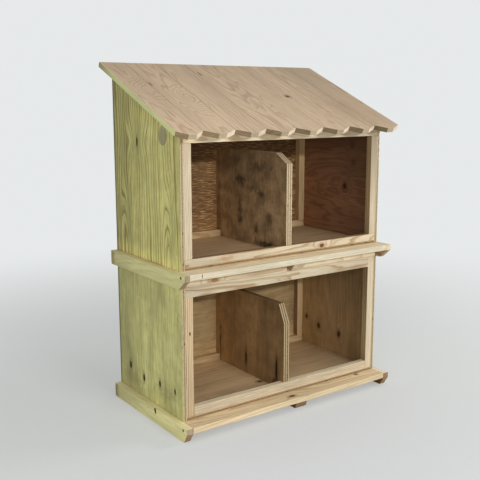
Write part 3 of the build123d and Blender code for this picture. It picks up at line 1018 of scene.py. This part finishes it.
# Painted shade and light on both divider veneers: lighter towards the back, darker towards the front, and on
# the upper one darker below its top and lighter at the very top.
upper_divider_veneer = timber(
    "upper_divider_veneer", (164, 136, 100), (142, 116, 82), 0.009, 0.03, contrast=0.35, patch=0.15,
    mottle=0.36, halo=(52, 42, 32), stains=upper_divider_stains,
    painted_shade=[("Y", 0.09, 0.165, 1.0, 1.35), ("Z", 0.55, 0.64, 1.04, 0.84), ("Z", 0.65, 0.7, 1.0, 1.3)],
)
lower_divider_veneer = timber(
    "lower_divider_veneer", (164, 131, 89), (138, 105, 67), 0.009, 0.03, contrast=0.35, patch=0.15,
    mottle=0.2, halo=(70, 48, 28), core=(22, 14, 10), knots=lower_divider_cracks, lift=0.004,
    stains=lower_divider_stains,
    painted_shade=[("Y", -0.13, 0.03, 0.7, 0.98), ("Y", 0.07, 0.165, 1.0, 1.3)],
)
lower_divider_edge, upper_divider_edge, divider_top = (
    ply_edge(f"{name}_ply_edge", pale, dark, divider_sheets, divider_thickness)
    for name, pale, dark in (
        ("lower_divider", (182, 162, 127), (118, 98, 74)),
        ("upper_divider", (204, 185, 152), (160, 138, 109)),
        ("divider_top", (156, 126, 92), (78, 58, 40)),
    )
)
for unit, veneer, edge in (
    ("lower", lower_divider_veneer, lower_divider_edge),
    ("upper", upper_divider_veneer, upper_divider_edge),
):
    skins = [veneer, veneer, edge, divider_top]
    piece = panel(f"{unit}_divider", skins, up, left)
    for side in piece.data.polygons:
        if unit == "lower" and looks(side, up, 0.9):
            wear(piece, side, divider_top)


# The roof: eight pine boards laid edge to edge down the slope and nailed to the front and back
# rails, with the front corners of each sawn off. They have weathered to a dull pinkish tan.
roof_ease = 0.0005
roof_pitch = math.radians(23.3)
down_slope = Vector((0.0, -math.cos(roof_pitch), -math.sin(roof_pitch)))
off_roof = Vector((0.0, -math.sin(roof_pitch), math.cos(roof_pitch)))
left_crack = (-0.2792, 0.064, 0.8581)
middle_crack = (-0.0891, 0.1324, 0.8876)
roof_cracks = {
    2: [(left_crack, (0.0008, 0.013, 0.0012), roof_pitch)],
    4: [(middle_crack, (0.001, 0.015, 0.003), roof_pitch)],
}
roof_knots = [
    ((0.1062, -0.0066, 0.8277), (0.008, 0.008, 0.006), 1.0),
    (left_crack, (0.008, 0.016, 0.01), 0.15),
    (middle_crack, (0.008, 0.016, 0.01), 0.15),
]
roof_arches = [
    ((-0.3104, 0.0286, 0.8428), (0.01, 0.026, 0.014), 0.022),
    ((-0.2153, -0.022, 0.8211), (0.01, 0.026, 0.014), 0.022),
]
# Painted light towards the front of the roof, and painted shade towards its right.
roof_wood = timber(
    "roof_pine", (206, 182, 152), (166, 134, 104), 0.0038, 0.018, contrast=0.58, patch=0.08,
    halo=(150, 116, 84), core=(78, 56, 40), knots=roof_knots, arches=roof_arches,
    stains=[((0.26, -0.1, 0.795), (0.12, 0.12, 0.08), 0.24)],
    painted_shade=[("Y", -0.2, 0.2, 1.08, 0.93), ("X", 0.05, 0.35, 1.0, 0.92)],
)
# Painted light: a paler copy of the roof pine for the boards' undersides.
roof_under_wood = timber("roof_under_pine", (246, 226, 198), (218, 194, 164), 0.0036, 0.02, contrast=0.5)
# Painted light and shade on the sawn ends: a pale copy for the clips that face right, and a dark one, darker
# still towards the right, for the clips that face left.
roof_ends, roof_lit_ends = (
    timber(name, early, late, 0.004, 0.003, fibre=0.16, rough=0.8)
    for name, early, late in (
        ("roof_sawn_end", (181, 165, 137), (146, 126, 100)),
        ("roof_lit_end", (230, 212, 186), (206, 183, 154)),
    )
)
roof_shaded_ends = timber(
    "roof_shaded_end", (150, 130, 98), (112, 94, 68), 0.004, 0.003, fibre=0.16, rough=0.85,
    painted_shade=[("X", -0.3, 0.3, 0.86, 0.53)],
)
# Painted shade: the first board's left edge darkens towards the back.
roof_green_edge = timber(
    "roof_green_edge", (222, 224, 160), (194, 194, 130), 0.004, 0.004, contrast=0.5,
    painted_shade=[("Y", 0.1, 0.19, 1.04, 0.55)],
)
for number, off, depth, tone in (
    (1, 0.006, 0.05, 1.03),
    (2, -0.012, 0.06, 1.04),
    (3, 0.03, 0.06, 1.0),
    (4, -0.02, 0.08, 1.02),
    (5, 0.04, 0.05, 1.0),
    (6, -0.03, 0.07, 1.01),
    (7, 0.02, 0.06, 0.95),
    (8, -0.04, 0.05, 0.91),
):
    node = f"roof_board_{number}"
    skins = [
        roof_wood, roof_ends, dark_hollow,
        roof_shaded_ends, roof_green_edge, roof_lit_ends, roof_under_wood,
    ]
    cracks = roof_cracks.get(number, [])
    piece = board(node, skins, down_slope, off_roof, off, depth, tone, roof_ease, cracks)
    for side in piece.data.polygons:
        # Painted shade on the clips that face left; painted light on those that face right and on the first
        # board's eased top edge.
        at_end = side.material_index == 1
        if at_end and looks(side, left, 0.2):
            wear(piece, side, roof_shaded_ends)
        elif at_end and looks(side, right, 0.2):
            wear(piece, side, roof_lit_ends)
        elif number == 1 and looks(side, left, 0.9):
            wear(piece, side, roof_green_edge)
        elif number == 1 and looks(side, left, 0.3):
            wear(piece, side, roof_lit_ends)
        elif looks(side, down):
            wear(piece, side, roof_under_wood)


# The fasteners: thin nails through the roof and the runners, plated and gone dull, and a dark
# cross-headed screw through the front end of each side runner, sunk below the surface.
head_radius = 0.0033
head_height = 0.0026
head_sunk = 0.0016
head_ease = 0.00025
shank_radius = 0.002
shank_length = 0.041
tip_length = 0.004
tip_share = 0.15
cross_length = 0.004
cross_width = 0.001
cross_depth = 0.003


def metal(name, dark, pale, low, high, clouds):
    """Plated metal: a cloudy colour, with its shine uneven in the same clouds."""
    pit_depth = 0.0002
    material, tree, shader, place = new_material(name, 0.5)
    shader.inputs["Metallic"].default_value = 1.0
    cloud = cloudy(tree, place, clouds, 3.0)
    colour = colour_mix(tree, cloud, paint(*dark), paint(*pale))
    coat(tree, shader, colour, ramp(tree, cloud, 0.3, 0.7, low, high), cloud, 0.2, pit_depth)
    return material


def pick_faces(piece, towards):
    """Select the faces of a piece that look one way, and go on in edit mode."""
    bpy.ops.object.mode_set(mode="EDIT")
    bpy.ops.mesh.select_mode(type="FACE")
    bpy.ops.mesh.select_all(action="DESELECT")
    bpy.ops.object.mode_set(mode="OBJECT")
    for side in piece.data.polygons:
        side.select = looks(side, towards, 0.9)
    bpy.ops.object.mode_set(mode="EDIT")


steel = metal("dull_plated_steel", (150, 146, 138), (188, 186, 180), 0.35, 0.6, 900.0)
black_steel = metal("black_screw_steel", (20, 19, 18), (44, 42, 40), 0.4, 0.65, 1400.0)
for node in ("lower_runner_nails", "upper_runner_nails", "roof_nails"):
    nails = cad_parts[node].data
    nails.materials.clear()
    nails.materials.append(steel)
bpy.ops.mesh.primitive_cylinder_add(vertices=32, radius=head_radius, depth=head_height)
screw = bpy.context.active_object
pick_faces(screw, down)
bpy.ops.mesh.inset(thickness=head_radius - shank_radius)
for length in (shank_length, tip_length):
    bpy.ops.mesh.extrude_region_move(TRANSFORM_OT_translate={"value": (0.0, 0.0, -length)})
bpy.ops.transform.resize(value=(tip_share, tip_share, 1.0))
bpy.ops.object.mode_set(mode="OBJECT")
for turn in (0.0, math.pi / 2):
    bpy.ops.mesh.primitive_cube_add(
        size=1.0, location=(0.0, 0.0, head_height / 2), rotation=(0.0, 0.0, turn)
    )
    cutter = bpy.context.active_object
    cutter.scale = (cross_length, cross_width, cross_depth)
    carve(screw, cutter)
softened = screw.modifiers.new("softened", "BEVEL")
softened.width = head_ease
softened.segments = 2
softened.limit_method = "ANGLE"
bpy.ops.object.modifier_apply(modifier=softened.name)
screw.data.materials.append(black_steel)
bpy.ops.object.shade_smooth_by_angle(angle=math.radians(30))
for unit, (screw_back, screw_up) in screw_middles.items():
    outer_left = ends_of(f"{unit}_runner_left", right)[0]
    outer_right = ends_of(f"{unit}_runner_right", right)[1]
    pair = []
    for outward, outer in ((-1, outer_left), (1, outer_right)):
        copy = bpy.data.objects.new(f"{unit}_screw", screw.data.copy())
        bpy.context.collection.objects.link(copy)
        turned = Euler((0.0, outward * math.pi / 2, 0.0)).to_matrix().to_4x4()
        turned.translation = (outer - outward * (head_sunk + head_height / 2), screw_back, screw_up)
        copy.data.transform(turned)
        pair.append(copy)
    take_up(*pair)
    bpy.ops.object.join()
    settle(pair[0], f"{unit}_runner_screws")
bpy.data.objects.remove(screw)
